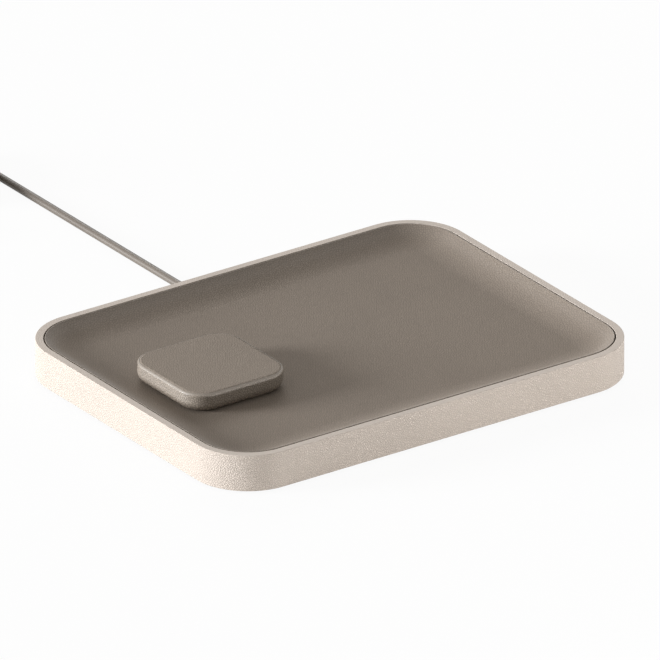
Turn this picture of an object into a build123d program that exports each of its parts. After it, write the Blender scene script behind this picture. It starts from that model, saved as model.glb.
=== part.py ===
# Desk tray with a raised square charging pad, wrapped in leather, with a captive lead.
# Millimetres. The origin lies on the table under the middle of the tray. +X runs along the
# long side to the right, +Y to the back, where the lead leaves, and +Z is up.
from build123d import *
from math import cos, hypot, pi, sin, sqrt, tan
import os

# Tray, outside
tray_length = 250.0
tray_depth = 191.0
corner_radius = 30.5
foot_reach = 1.5

# Rim: a moulded frame with leather over its outside and top
skin = 1.0
tuck_skin = 0.8
rim_width = 4.0
tuck_depth = 4.4
turn_under = 5.0
top_round = 1.0
inner_round = 0.45
bottom_round = 0.6

# Groove between the rim and the dish
groove = 0.7

# Dish: a flat floor with a long shallow cove that rises to the lip
dish_depth = 5.8
lip_drop = 0.3
cove_foot_inset = 25.0
liner = 1.2
liner_turn_down = 3.8
lip_round = 0.4
pan_wall = 2.5

# Frame details inside the rim
shelf_reach = 9.0
shelf_top_drop = 5.7
shelf_thick = 2.2
flange_thick = 2.0
pan_side_gap = 0.2
pan_edge_width = 8.0

# Base plate, the bay above it, the feet and the screws that close the tray
base_thick = 1.6
bay_height = 8.3
base_gap = 0.3
base_post_radius = 4.0
base_post_inset = 17.0
base_corner_inset = 22.5
base_middle_share = 0.39
base_screw_radius = 1.2
base_screw_head_radius = 2.3
base_screw_head = 1.1
base_screw_length = 8.0
head_sink = 0.1
foot_radius = 9.0
foot_sink = 0.6
foot_inset_x = 40.0
foot_inset_y = 35.0

# Fits shared by the screws and loose parts
fit_gap = 0.15
thread_gap = 0.08
hole_end_gap = 0.3
socket_across = 1.5
socket_deep = 0.7
overrun = 1.0

# Charging pad, which stands on the dish floor at its left end
pad_overhang = 1.3
pad_side = 59.2
pad_corner = 13.6
pad_height = 10.8
pad_rounding = 5.0
bead_round = 0.7
bead_inner_round = 0.22
pad_groove = 0.3
sheet = 0.9
sheet_sink = 0.1
sheet_round = 0.2
cover_thick = 1.2
shell_wall = 1.2
shell_floor = 1.6
shell_foot_inset = 9.6
lead_hole_radius = 3.0

# Inside the pad
magnet_side_gap = 0.4
magnet_width = 4.0
magnet_thick = 2.0
magnet_gap = 0.8
magnet_cuts = 8
shield_gap = 0.5
shield_thick = 1.0
coil_margin = 1.0
coil_inner_radius = 12.0
coil_thick = 1.6
coil_room = 0.2
carrier_margin = 0.1
carrier_thick = 1.3
stack_gap = 0.1
pad_screw_inset = 16.6
pad_screw_radius = 1.25
pad_screw_head_radius = 2.4
pad_screw_head = 1.4
pad_screw_room = 0.7
pad_boss_radius = 3.0
coil_lead_radius = 0.45
coil_lead_spread = 1.3
coil_lead_bend = 1.2

# Control board under the pan, below the pad
board_shift = 7.7
board_length = 62.0
board_depth = 42.0
board_corner = 2.0
board_thick = 1.2
board_drop = 2.8
standoff_radius = 2.6
standoff_inset = 4.0
board_screw_radius = 1.0
board_screw_head_radius = 1.9
board_screw_head = 1.1
board_screw_room = 0.4
chip_side = 5.0
chip_thick = 0.9
choke_side = 7.0
choke_thick = 2.6
capacitor_radius = 2.0
capacitor_thick = 2.2
choke_x_share = 0.28
choke_gap = 1.0
chip_y_share = 0.12
capacitor_x_share = 0.08
capacitor_y_share = 0.3
socket_width = 9.0
socket_depth = 7.0
socket_inset = 13.0
socket_floor_gap = 0.3

# Steel plate that keeps the tray from lifting with the phone
ballast_board_gap = 45.0
ballast_end_gap = 23.0
ballast_side_gap = 33.5
ballast_corner = 8.0
ballast_drop = 1.8
ballast_floor_gap = 1.0
ballast_post_radius = 3.6
ballast_hole_inset = 10.0
ballast_screw_radius = 1.5
ballast_screw_head_radius = 2.7
ballast_screw_head = 1.5
ballast_screw_bite = 1.2

# Lead: where it leaves, its strain relief and its clamp
cord_diameter = 4.0
cord_x = -2.7
cord_lift = 0.1
relief_wall = 0.9
relief_tip_wall = 0.3
relief_length = 12.0
relief_notch_gap = 0.2
relief_flange_width = 9.6
relief_flange_rise = 3.4
relief_flange_thick = 1.4
relief_rings = 3
relief_ring_width = 0.9
relief_ring_deep = 0.35
relief_ring_pitch = 2.4
slot_gap = 0.5
lead_bend_inset = 31.5
lead_socket_run = 21.0
clamp_inset = 13.5
clamp_width = 6.0
clamp_cover = 1.3
clamp_room = 0.25
clamp_side = 4.15
clamp_end = 3.6
clamp_boss_radius = 2.6
clamp_screw_radius = 0.9
clamp_screw_head_radius = 1.7
clamp_screw_head = 1.0
clamp_seat_rise = 2.2

# Free lead: it drops to the table behind the tray and then runs straight back
cord_level_run = 7.5
cord_drop_run = 9.0
coil_reach = 204.5
bend_run_share = 0.45

# Put-away coil: two layers of turns that spiral in and out again
turn_radius = 33.6
turn_gap = 0.5
layer_gap = 0.5
turn_count = 8.5
steps_per_turn = 4
coil_rise = 1.1
climb_turns = 0.5
tail_level_run = 8.0
tail_drop_run = 13.0

# Tie round the coil
tie_thick = 0.8
tie_width = 8.0
tie_inner_room = 1.2
tie_room = 0.3
tie_round = 2.6

# Plug on the far end, USB type C
plug_width = 12.4
plug_thick = 6.5
plug_length = 20.0
plug_corner = 2.6
plug_edge_round = 0.8
neck_wall = 0.9
neck_length = 5.0
shell_width = 8.34
shell_height = 2.56
shell_length = 6.65
shell_metal = 0.3
shell_back = 0.5
insert_gap = 0.05
insert_length = 5.6
insert_slot_width = 6.8
insert_slot_height = 0.8
insert_slot_depth = 5.0

# Levels that follow from the sizes above
rim_low = foot_reach
base_top = rim_low + base_thick
pan_low = base_top + bay_height
floor = pan_low + pan_wall + liner
rim_top = floor + dish_depth
lip_inset = rim_width + groove
lip_top = rim_top - lip_drop
cove_run = cove_foot_inset - lip_inset
cove_rise = lip_top - floor
cove_radius = (cove_run**2 + cove_rise**2) / (2 * cove_rise)
frame_low = rim_low + tuck_skin
frame_top = rim_top - skin
frame_inner = rim_width - tuck_skin
shelf_top = rim_top - shelf_top_drop
pan_inset = lip_inset + tuck_skin
base_inset = turn_under + base_gap

pad_x = cove_foot_inset - pad_overhang + pad_side / 2 - tray_length / 2
pad_top = floor + pad_height
sheet_top = pad_top - sheet_sink
cover_top = sheet_top - sheet
shell_top = cover_top - cover_thick
magnet_outer_radius = pad_side / 2 - skin - shell_wall - magnet_side_gap
magnet_inner_radius = magnet_outer_radius - magnet_width
magnet_low = shell_top - stack_gap - magnet_thick
shield_radius = magnet_inner_radius - shield_gap
coil_outer_radius = shield_radius - coil_margin
coil_low = shell_top - coil_room - coil_thick
carrier_radius = magnet_outer_radius + carrier_margin
carrier_top = coil_low - shield_thick
carrier_low = carrier_top - carrier_thick
pad_screw_reach = pad_side / 2 - pad_screw_inset
pad_screw_length = carrier_low - pad_screw_room - pan_low
shell_low = floor + skin
cavity_low = shell_low + shell_floor

board_x = pad_x + board_shift
board_top = pan_low - board_drop
board_low = board_top - board_thick
board_end_x = board_x + board_length / 2
board_back_y = board_depth / 2
board_screw_length = board_thick + board_drop - board_screw_room

ballast_left = board_end_x + ballast_board_gap
ballast_right = tray_length / 2 - ballast_end_gap
ballast_length = ballast_right - ballast_left
ballast_depth = tray_depth - 2 * ballast_side_gap
ballast_x = (ballast_left + ballast_right) / 2
ballast_top = pan_low - ballast_drop
ballast_low = base_top + ballast_floor_gap + ballast_screw_head
ballast_screw_length = pan_low + ballast_screw_bite - ballast_low

cord_radius = cord_diameter / 2
exit_z = base_top + cord_lift + cord_radius
back_y = tray_depth / 2
relief_radius = cord_radius + relief_wall
relief_tip_radius = cord_radius + relief_tip_wall
relief_tip_y = back_y + relief_length
relief_inner_y = back_y - frame_inner - relief_flange_thick - fit_gap
lead_end_x = board_end_x - socket_inset
clamp_y = back_y - clamp_inset
clamp_screw_reach = cord_radius + clamp_room + clamp_side
clamp_length = 2 * (clamp_screw_reach + clamp_end)
coil_y = back_y + coil_reach
turn_pitch = cord_diameter + turn_gap
layer_pitch = cord_diameter + layer_gap
neck_radius = cord_radius + neck_wall
layer_low_z = cord_radius + coil_rise
layer_high_z = layer_low_z + layer_pitch
coil_x = cord_x - turn_radius
tail_x = coil_x - turn_radius
plug_z = plug_thick / 2


def slab(length, depth, corner, low, high):
    """Rounded-rectangle block about the origin, between two levels."""
    return Pos(0, 0, low) * extrude(RectangleRounded(length, depth, corner), high - low)


def tray_slab(inset, low, high):
    """Block with the tray's outline, drawn in by inset."""
    return slab(tray_length - 2 * inset, tray_depth - 2 * inset, corner_radius - inset, low, high)


def tray_ring(outer, inner, low, high):
    """Ring that follows the tray's outline between two insets."""
    return tray_slab(outer, low, high) - tray_slab(inner, low, high)


def pad_slab(inset, low, high):
    """Block with the pad's outline, drawn in by inset."""
    side = pad_side - 2 * inset
    return Pos(pad_x, 0, 0) * slab(side, side, pad_corner - inset, low, high)


def rod(x, y, radius, low, high):
    """Upright cylinder between two levels."""
    return Pos(x, y, (low + high) / 2) * Cylinder(radius, high - low)


def block(x, y, length, depth, low, high):
    """Upright box between two levels."""
    return Pos(x, y, (low + high) / 2) * Box(length, depth, high - low)


def lowest_edges(shape):
    return shape.edges().group_by(Axis.Z)[0]


def highest_edges(shape):
    return shape.edges().group_by(Axis.Z)[-1]


def dish_body(grow):
    """The dish's hollow as a solid, grown outwards by grow: flat below, with the cove as its edge."""
    radius = cove_radius + grow
    length = tray_length - 2 * cove_foot_inset + 2 * radius
    depth = tray_depth - 2 * cove_foot_inset + 2 * radius
    corner = corner_radius - cove_foot_inset + radius
    body = slab(length, depth, corner, floor - grow, floor + cove_radius + overrun)
    return fillet(lowest_edges(body), radius)


def mirrored(x, y):
    """The four places that mirror one place in both directions."""
    return [(sx * x, sy * y) for sx in (-1, 1) for sy in (-1, 1)]


base_places = mirrored(tray_length / 2 - base_corner_inset, tray_depth / 2 - base_corner_inset)
base_places += mirrored(base_middle_share * tray_length / 2, tray_depth / 2 - base_post_inset)
foot_places = mirrored(tray_length / 2 - foot_inset_x, tray_depth / 2 - foot_inset_y)
pad_screw_places = [(pad_x + x, y) for x, y in mirrored(pad_screw_reach, pad_screw_reach)]
board_places = [
    (board_x + x, y)
    for x, y in mirrored(board_length / 2 - standoff_inset, board_depth / 2 - standoff_inset)
]
ballast_places = [
    (ballast_x + x, y)
    for x, y in mirrored(
        ballast_length / 2 - ballast_hole_inset, ballast_depth / 2 - ballast_hole_inset
    )
]
clamp_places = [(cord_x + side * clamp_screw_reach, clamp_y) for side in (-1, 1)]


def runs_of(points):
    return [b - a for a, b in zip(points, points[1:])]


def bend_radii(points):
    """The largest even bend that each corner's two runs allow."""
    found = []
    runs = runs_of(points)
    for before, after in zip(runs, runs[1:]):
        half_turn = before.get_angle(after) / 2 * pi / 180
        found.append(bend_run_share * min(before.length, after.length) / tan(half_turn))
    return found


def tube(name, points, radius):
    """Round tube along straight runs and tangent arcs; prints its bends and its length."""
    route = [Vector(*p) for p in points]
    bends = bend_radii(route)
    path = FilletPolyline(*route, radius=bends)
    section = Plane(origin=path @ 0, z_dir=path % 0) * Circle(radius)
    solid = sweep(section, path=path)
    share = solid.volume / (pi * radius**2 * path.length)
    print(f"{name}: bends {[round(b, 1) for b in bends]}, length {path.length:.1f}, fill {share:.4f}")
    return solid


def key_socket(x, y, low):
    """Six-sided socket in the head of a screw that goes up."""
    outline = RegularPolygon(socket_across / 2, 6, major_radius=False)
    return Pos(x, y, low) * extrude(outline, socket_deep)


def screw_up(x, y, seat, head_radius, head, radius, length):
    """Pan-head screw that goes up from its seat."""
    solid = rod(x, y, head_radius, seat - head, seat) + rod(x, y, radius, seat, seat + length)
    return solid - key_socket(x, y, seat - head)


def rim_leather():
    """Leather over the frame: outside, top, a tuck into the groove and a turn under the edge."""
    body = tray_slab(0, rim_low, rim_top)
    body = fillet(highest_edges(body), top_round)
    body = fillet(lowest_edges(body), bottom_round)
    well = tray_slab(rim_width, rim_low - overrun, rim_top + overrun)
    body -= fillet_mouth(well)
    body -= tray_ring(skin, frame_inner, frame_low, frame_top)
    tuck_low = rim_top - tuck_depth
    body -= tray_ring(skin, rim_width + overrun, frame_low, tuck_low)
    body += tray_ring(frame_inner, turn_under, rim_low, frame_low)
    return body - relief_notch(relief_notch_gap)


def fillet_mouth(well):
    """The well's block with a rounded mouth, so that the leather's inner top edge is rounded."""
    mouth = tray_slab(rim_width - inner_round, rim_top - inner_round, rim_top + overrun)
    roll = tray_ring(
        rim_width - inner_round - overrun, rim_width, rim_top - 2 * inner_round, rim_top
    )
    roll = fillet(
        roll.edges().group_by(Axis.Z)[-1].filter_by(lambda e: on_inset(e, rim_width)), inner_round
    )
    return well + (mouth - roll)


def on_inset(edge, inset):
    """True where an edge follows the tray's outline drawn in by inset."""
    p = edge @ 0.5
    half_x = tray_length / 2 - corner_radius
    half_y = tray_depth / 2 - corner_radius
    away_x = max(abs(p.X) - half_x, 0)
    away_y = max(abs(p.Y) - half_y, 0)
    return abs(hypot(away_x, away_y) - (corner_radius - inset)) < inner_round / 4


def relief_notch(gap):
    """Arch through the back of the rim that the strain relief fills, larger by gap."""
    depth = frame_inner + 2 * overrun
    y = back_y + overrun - depth / 2
    arch = Pos(cord_x, y, exit_z) * Rot(90, 0, 0) * Cylinder(relief_radius + gap, depth)
    foot = block(cord_x, y, 2 * (relief_radius + gap), depth, rim_low - overrun, exit_z)
    return arch + foot


def rim_frame():
    """Moulded frame: the rim's wall, a shelf for the pan and a flange over the base plate."""
    body = tray_ring(skin, frame_inner, frame_low, frame_top)
    body += tray_ring(frame_inner, shelf_reach, shelf_top - shelf_thick, shelf_top)
    body += tray_ring(frame_inner, shelf_reach, base_top, base_top + flange_thick)
    body += tray_ring(frame_inner, turn_under + fit_gap, frame_low, base_top)
    body -= relief_notch(relief_notch_gap)
    half = relief_flange_width / 2 + slot_gap
    slot_depth = shelf_reach - frame_inner + overrun
    slot_y = back_y - frame_inner - slot_depth / 2
    slot_top = exit_z + relief_flange_rise + slot_gap
    return body - block(cord_x, slot_y, 2 * half, slot_depth, frame_low - overrun, slot_top)


def liner_leather():
    """Leather lining of the dish, turned down over the pan's edge into the groove."""
    body = tray_slab(lip_inset, floor - liner, lip_top) & dish_body(liner)
    edge = tray_ring(lip_inset, pan_inset, lip_top - liner_turn_down, lip_top)
    body = body + edge - dish_body(0)
    rim = highest_edges(body)
    body = fillet(rim, lip_round)
    body -= rod(pad_x, 0, lead_hole_radius, floor - liner - overrun, floor + overrun)
    for x, y in pad_screw_places:
        hole = pad_screw_radius + fit_gap
        body -= rod(x, y, hole, floor - liner - overrun, floor + overrun)
    return body


def tray_pan():
    """Moulded pan under the lining, with its edge on the frame's shelf and posts below."""
    body = tray_slab(pan_inset, pan_low, lip_top) & dish_body(liner + pan_wall)
    body += tray_ring(pan_inset, pan_inset + pan_edge_width, shelf_top, lip_top)
    for x, y in base_places:
        body += rod(x, y, base_post_radius, base_top, shelf_top)
    for x, y in board_places:
        body += rod(x, y, standoff_radius, board_top, pan_low + pan_wall / 2)
    for x, y in ballast_places:
        body += rod(x, y, ballast_post_radius, ballast_top, pan_low + pan_wall / 2)
    body -= tray_ring(0, shelf_reach + pan_side_gap, pan_low, shelf_top)
    body -= dish_body(liner)
    body -= rod(pad_x, 0, lead_hole_radius, pan_low - overrun, floor)
    for x, y in pad_screw_places:
        body -= rod(x, y, pad_screw_radius + fit_gap, pan_low - overrun, floor)
    for x, y in base_places:
        top = rim_low + head_sink + base_screw_length + hole_end_gap
        body -= rod(x, y, base_screw_radius + thread_gap, base_top, top)
    for x, y in board_places:
        top = board_low + board_screw_length + hole_end_gap
        body -= rod(x, y, board_screw_radius + thread_gap, board_top, top)
    for x, y in ballast_places:
        top = ballast_low + ballast_screw_length + hole_end_gap
        body -= rod(x, y, ballast_screw_radius + thread_gap, ballast_top, top)
    return body


def countersink(x, y, seat, head_radius, radius, head):
    """Cone of a countersunk head, widest at its seat."""
    return Pos(x, y, seat + head / 2) * Cone(head_radius, radius, head)


def base_plate():
    """Plate that closes the underside, with sunk places for the feet and the screws."""
    body = tray_slab(base_inset, rim_low, base_top)
    for x, y in foot_places:
        body -= rod(x, y, foot_radius + fit_gap, rim_low, rim_low + foot_sink)
    for x, y in base_places:
        seat = rim_low + head_sink
        head = base_screw_head_radius + fit_gap
        shank = base_screw_radius + fit_gap
        body -= rod(x, y, head, rim_low, seat)
        body -= countersink(x, y, seat, head, shank, base_screw_head)
        body -= rod(x, y, shank, seat, base_top)
    for x, y in clamp_places:
        body += rod(x, y, clamp_boss_radius, base_top, base_top + clamp_seat_rise)
        body -= rod(x, y, clamp_screw_radius + thread_gap, base_top, base_top + clamp_seat_rise)
    return body


def base_screws():
    """Countersunk screws that draw the base plate and the pan together on the frame."""
    solids = []
    for x, y in base_places:
        seat = rim_low + head_sink
        screw = countersink(x, y, seat, base_screw_head_radius, base_screw_radius, base_screw_head)
        screw += rod(x, y, base_screw_radius, seat + base_screw_head, seat + base_screw_length)
        solids.append(screw - key_socket(x, y, seat))
    return Compound(solids)


def feet():
    """Four soft feet let into the base plate."""
    return Compound([rod(x, y, foot_radius, 0, rim_low + foot_sink) for x, y in foot_places])


def rounded_below(body, radius):
    return fillet(lowest_edges(body), radius)


def pad_side_leather():
    """Leather band round the pad, from a bead at its top edge to a turn under its base."""
    body = rounded_below(pad_slab(0, floor, pad_top), pad_rounding)
    body = fillet(highest_edges(body), bead_round)
    hollow = rounded_below(pad_slab(skin, shell_low, pad_top + overrun), pad_rounding - skin)
    body -= hollow
    inner = highest_edges(body).filter_by(lambda e: on_pad_inset(e, skin))
    body = fillet(inner, bead_inner_round)
    return body - pad_slab(shell_foot_inset, floor - overrun, shell_low + overrun)


def on_pad_inset(edge, inset):
    """True where an edge follows the pad's outline drawn in by inset."""
    p = edge @ 0.5
    half = pad_side / 2 - pad_corner
    away_x = max(abs(p.X - pad_x) - half, 0)
    away_y = max(abs(p.Y) - half, 0)
    return abs(hypot(away_x, away_y) - (pad_corner - inset)) < bead_inner_round / 2


def pad_shell():
    """Moulded tub of the pad, which stands on the dish floor by its foot."""
    body = rounded_below(pad_slab(skin, shell_low, shell_top), pad_rounding - skin)
    inner = pad_rounding - skin - shell_wall
    body -= rounded_below(pad_slab(skin + shell_wall, cavity_low, shell_top + overrun), inner)
    body += pad_slab(shell_foot_inset + fit_gap, floor, shell_low)
    for x, y in pad_screw_places:
        body += rod(x, y, pad_boss_radius, cavity_low, carrier_low)
    for x, y in pad_screw_places:
        top = pan_low + pad_screw_length + hole_end_gap
        body -= rod(x, y, pad_screw_radius + thread_gap, floor, top)
    return body - rod(pad_x, 0, lead_hole_radius, floor - overrun, cavity_low + overrun)


def pad_cover():
    """Stiff plate that closes the pad over the winding."""
    return pad_slab(skin + fit_gap, shell_top, cover_top)


def pad_top_leather():
    """Leather sheet let into the pad's top, with a fine groove round it."""
    return fillet(highest_edges(pad_slab(skin + pad_groove, cover_top, sheet_top)), sheet_round)


def pad_screws():
    """Screws that hold the pad down on the pan from below."""
    head = pad_screw_head_radius
    return Compound(
        [
            screw_up(x, y, pan_low, head, pad_screw_head, pad_screw_radius, pad_screw_length)
            for x, y in pad_screw_places
        ]
    )


def coil_carrier():
    """Plate on the shell's bosses that carries the shield and, on its step, the magnets."""
    body = rod(pad_x, 0, carrier_radius, carrier_low, magnet_low)
    body -= rod(pad_x, 0, shield_radius + fit_gap, carrier_top, magnet_low)
    return body - rod(pad_x, 0, lead_hole_radius, carrier_low, carrier_top)


def shield_disc():
    """Ferrite disc under the winding."""
    body = rod(pad_x, 0, shield_radius, carrier_top, coil_low)
    return body - rod(pad_x, 0, lead_hole_radius, carrier_top, coil_low)


def charging_coil():
    """Flat winding that sends the power."""
    high = coil_low + coil_thick
    body = rod(pad_x, 0, coil_outer_radius, coil_low, high)
    return body - rod(pad_x, 0, coil_inner_radius, coil_low, high)


def magnet_ring():
    """Ring of magnets that centres a phone, cut into equal segments."""
    body = rod(pad_x, 0, magnet_outer_radius, magnet_low, magnet_low + magnet_thick)
    body -= rod(pad_x, 0, magnet_inner_radius, magnet_low, magnet_low + magnet_thick)
    middle = magnet_low + magnet_thick / 2
    cutter = Box(2 * (magnet_outer_radius + overrun), magnet_gap, magnet_thick)
    for k in range(magnet_cuts):
        body -= Pos(pad_x, 0, middle) * Rot(0, 0, 180 * k / magnet_cuts) * cutter
    return body


def coil_leads():
    """Two wires from the winding's inside, down through the pad and the pan to the board."""
    level = coil_low + coil_lead_radius + stack_gap
    solids = []
    for side in (-1, 1):
        start = (pad_x + side * (coil_inner_radius - stack_gap), 0, level)
        corner = (pad_x + side * coil_lead_spread, 0, level)
        end = (pad_x + side * coil_lead_spread, 0, board_top)
        path = FilletPolyline(start, corner, end, radius=coil_lead_bend)
        section = Plane(origin=path @ 0, z_dir=path % 0) * Circle(coil_lead_radius)
        solids.append(sweep(section, path=path))
    return Compound(solids)


def control_board():
    """Circuit board that hangs on the pan's standoffs."""
    body = Pos(board_x, 0, 0) * slab(board_length, board_depth, board_corner, board_low, board_top)
    for x, y in board_places:
        body -= rod(x, y, board_screw_radius + fit_gap, board_low, board_top)
    return body


def board_screws():
    """Screws that hold the board to the standoffs."""
    head = board_screw_head_radius
    radius = board_screw_radius
    return Compound(
        [
            screw_up(x, y, board_low, head, board_screw_head, radius, board_screw_length)
            for x, y in board_places
        ]
    )


def board_chips():
    """Parts soldered under the board: four chokes, two chips and four capacitors."""
    solids = []
    choke_y = board_back_y - socket_depth - choke_gap - choke_side / 2
    for x, y in mirrored(choke_x_share * board_length, choke_y):
        low = board_low - choke_thick
        solids.append(block(board_x + x, y, choke_side, choke_side, low, board_low))
    for side in (-1, 1):
        y = side * chip_y_share * board_depth
        solids.append(block(board_x, y, chip_side, chip_side, board_low - chip_thick, board_low))
    for x, y in mirrored(capacitor_x_share * board_length, capacitor_y_share * board_depth):
        low = board_low - capacitor_thick
        solids.append(rod(board_x + x, y, capacitor_radius, low, board_low))
    return Compound(solids)


def lead_socket():
    """Socket under the board's back edge that the lead ends in."""
    y = board_back_y - socket_depth / 2
    low = base_top + socket_floor_gap
    return block(lead_end_x, y, socket_width, socket_depth, low, board_low)


def power_lead():
    """The lead inside the tray, from the strain relief to the board's socket."""
    points = [
        (cord_x, relief_inner_y, exit_z),
        (cord_x, back_y - lead_bend_inset, exit_z),
        (lead_end_x, board_back_y + lead_socket_run, exit_z),
        (lead_end_x, board_back_y, exit_z),
    ]
    return tube("power_lead", points, cord_radius)


def lead_clamp():
    """Bar over the lead, screwed down beside it on two bosses of the base plate."""
    seat = base_top + clamp_seat_rise
    top = exit_z + cord_radius + clamp_room + clamp_cover
    bar = slab(clamp_length, clamp_width, clamp_screw_radius, seat, top)
    body = Pos(cord_x, clamp_y, 0) * bar
    tunnel = Pos(cord_x, clamp_y, exit_z) * Rot(90, 0, 0)
    body -= tunnel * Cylinder(cord_radius + clamp_room, clamp_width + overrun)
    width = 2 * (cord_radius + clamp_room)
    body -= block(cord_x, clamp_y, width, clamp_width + overrun, base_top, exit_z)
    for x, y in clamp_places:
        body -= rod(x, y, clamp_screw_radius + fit_gap, seat, top)
    return body


def clamp_screws():
    """Two screws that hold the clamp down."""
    seat = exit_z + cord_radius + clamp_room + clamp_cover
    solids = []
    for x, y in clamp_places:
        low = base_top + hole_end_gap
        screw = rod(x, y, clamp_screw_radius, low, seat)
        screw += rod(x, y, clamp_screw_head_radius, seat, seat + clamp_screw_head)
        solids.append(screw)
    return Compound(solids)


def ballast_plate():
    """Steel plate hung under the pan's right half."""
    body = slab(ballast_length, ballast_depth, ballast_corner, ballast_low, ballast_top)
    body = Pos(ballast_x, 0, 0) * body
    for x, y in ballast_places:
        body -= rod(x, y, ballast_screw_radius + fit_gap, ballast_low, ballast_top)
    return body


def ballast_screws():
    """Screws that hold the steel plate."""
    head = ballast_screw_head_radius
    radius = ballast_screw_radius
    return Compound(
        [
            screw_up(x, y, ballast_low, head, ballast_screw_head, radius, ballast_screw_length)
            for x, y in ballast_places
        ]
    )


def strain_relief():
    """Soft sleeve moulded on the lead: a flange inside the rim, an arch and a ribbed taper."""
    along = Rot(-90, 0, 0)
    flange_y = back_y - frame_inner - fit_gap - relief_flange_thick / 2
    low = base_top + cord_lift
    high = exit_z + relief_flange_rise
    body = block(cord_x, flange_y, relief_flange_width, relief_flange_thick, low, high)
    neck = back_y - flange_y
    neck_y = (back_y + flange_y) / 2
    body += Pos(cord_x, neck_y, exit_z) * along * Cylinder(relief_radius, neck)
    foot_y = back_y - frame_inner / 2
    foot_low = rim_low + head_sink
    body += block(cord_x, foot_y, 2 * relief_radius, frame_inner, foot_low, exit_z)
    taper = Cone(relief_radius, relief_tip_radius, relief_length)
    taper = Pos(cord_x, back_y + relief_length / 2, exit_z) * along * taper
    for k in range(relief_rings):
        y = back_y + relief_length - (k + 1) * relief_ring_pitch
        share = (y - back_y) / relief_length
        outer = relief_radius + (relief_tip_radius - relief_radius) * share
        ring = Cylinder(relief_radius + overrun, relief_ring_width)
        ring -= Cylinder(outer - relief_ring_deep, relief_ring_width)
        taper -= Pos(cord_x, y, exit_z) * along * ring
    return body + taper


# The free lead's corners: level out of the strain relief, down to the table, straight back
cord_route = [
    (cord_x, relief_tip_y, exit_z),
    (cord_x, relief_tip_y + cord_level_run, exit_z),
    (cord_x, relief_tip_y + cord_level_run + cord_drop_run, cord_radius),
    (cord_x, coil_y - cord_diameter, cord_radius),
]

# From the coil down to the plug, which lies on the table beside it
tail_route = [
    (tail_x, coil_y - cord_diameter, layer_high_z),
    (tail_x, coil_y - cord_diameter - tail_level_run, layer_high_z),
    (tail_x, coil_y - cord_diameter - tail_level_run - tail_drop_run, plug_z),
    (tail_x, coil_y - cord_diameter - 2 * tail_level_run - tail_drop_run, plug_z),
]
plug_y = tail_route[-1][1] - neck_length


def cord():
    """The free lead from the strain relief to the coil."""
    return tube("cord", cord_route, cord_radius)


def cord_tail():
    """The short free end from the coil to the plug."""
    return tube("cord_tail", tail_route, cord_radius)


def coil_state(turn):
    """Place and direction on the coil after so many turns."""
    inward = turn <= turn_count / 2
    radius = turn_radius - turn_pitch * (turn if inward else turn_count - turn)
    climb = min(max((turn - (turn_count - climb_turns) / 2) / climb_turns, 0), 1)
    rise = coil_rise * min(turn * steps_per_turn, 1)
    z = cord_radius + rise + layer_pitch * climb
    turning = turn_pitch * (-1 if inward else 1)
    if turn in (0, turn_count / 2, turn_count):
        turning = 0
    climbing = layer_pitch / climb_turns if 0 < climb < 1 else 0
    angle = 2 * pi * turn
    place = Vector(coil_x + radius * cos(angle), coil_y + radius * sin(angle), z)
    direction = Vector(
        turning * cos(angle) - 2 * pi * radius * sin(angle),
        turning * sin(angle) + 2 * pi * radius * cos(angle),
        climbing,
    )
    return place, direction.normalized()


def two_arcs(start, heading, end, leaving):
    """Two arcs that join two places and follow the direction given at each."""
    chord = end - start
    both = heading + leaving
    along = chord.dot(both)
    spread = 2 * (1 - heading.dot(leaving))
    reach = (sqrt(along**2 + spread * chord.dot(chord)) - along) / spread
    middle = (start + end + (heading - leaving) * reach) * 0.5
    first = TangentArc(start, middle, tangent=heading)
    second = TangentArc(end, middle, tangent=-leaving)
    return [first, Edge.make_three_point_arc(second @ 1, second @ 0.5, second @ 0)]


def coil_path():
    """The coil's centreline, with a straight run of one diameter at each end."""
    count = round(turn_count * steps_per_turn)
    states = [coil_state(k / steps_per_turn) for k in range(count + 1)]
    start, heading = states[0]
    end, leaving = states[-1]
    edges = [Line(start - heading * cord_diameter, start)]
    for (a, u), (b, v) in zip(states, states[1:]):
        edges += two_arcs(a, u, b, v)
    edges.append(Line(end, end + leaving * cord_diameter))
    return Wire(edges)


def coil_gap(path, samples=1400):
    """The least gap between two turns, measured on points along the centreline."""
    points = [path @ (k / samples) for k in range(samples + 1)]
    step = path.length / samples
    skip = int(2 * cord_diameter / step) + 1
    least = min(
        hypot(p.X - q.X, p.Y - q.Y, p.Z - q.Z)
        for i, p in enumerate(points)
        for q in points[i + skip :]
        if abs(p.X - q.X) < 2 * cord_diameter and abs(p.Y - q.Y) < 2 * cord_diameter
    )
    return least - cord_diameter


def cord_coil():
    """The put-away length, wound as one unbroken tube."""
    path = coil_path()
    section = Plane(origin=path @ 0, z_dir=path % 0) * Circle(cord_radius)
    solid = sweep(section, path=path)
    share = solid.volume / (pi * cord_radius**2 * path.length)
    print(f"cord_coil: {turn_count} turns, length {path.length:.1f}, fill {share:.4f}")
    print(f"cord_coil: least gap to itself {coil_gap(path):.2f}")
    return solid


def coil_tie():
    """Strap round the coil's turns at its far side."""
    near = turn_radius - turn_pitch * turn_count / 2 - cord_radius - tie_inner_room
    far = turn_radius + cord_radius + tie_room
    high = layer_high_z + cord_radius + tie_room
    inner = RectangleRounded(far - near, high - tie_thick, tie_round)
    outer = RectangleRounded(far - near + 2 * tie_thick, high + tie_thick, tie_round + tie_thick)
    middle = Vector(coil_x - tie_width / 2, coil_y + (near + far) / 2, (high + tie_thick) / 2)
    plane = Plane(origin=middle, x_dir=(0, 1, 0), z_dir=(1, 0, 0))
    return extrude(plane * outer, tie_width) - extrude(plane * inner, tie_width)


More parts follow.
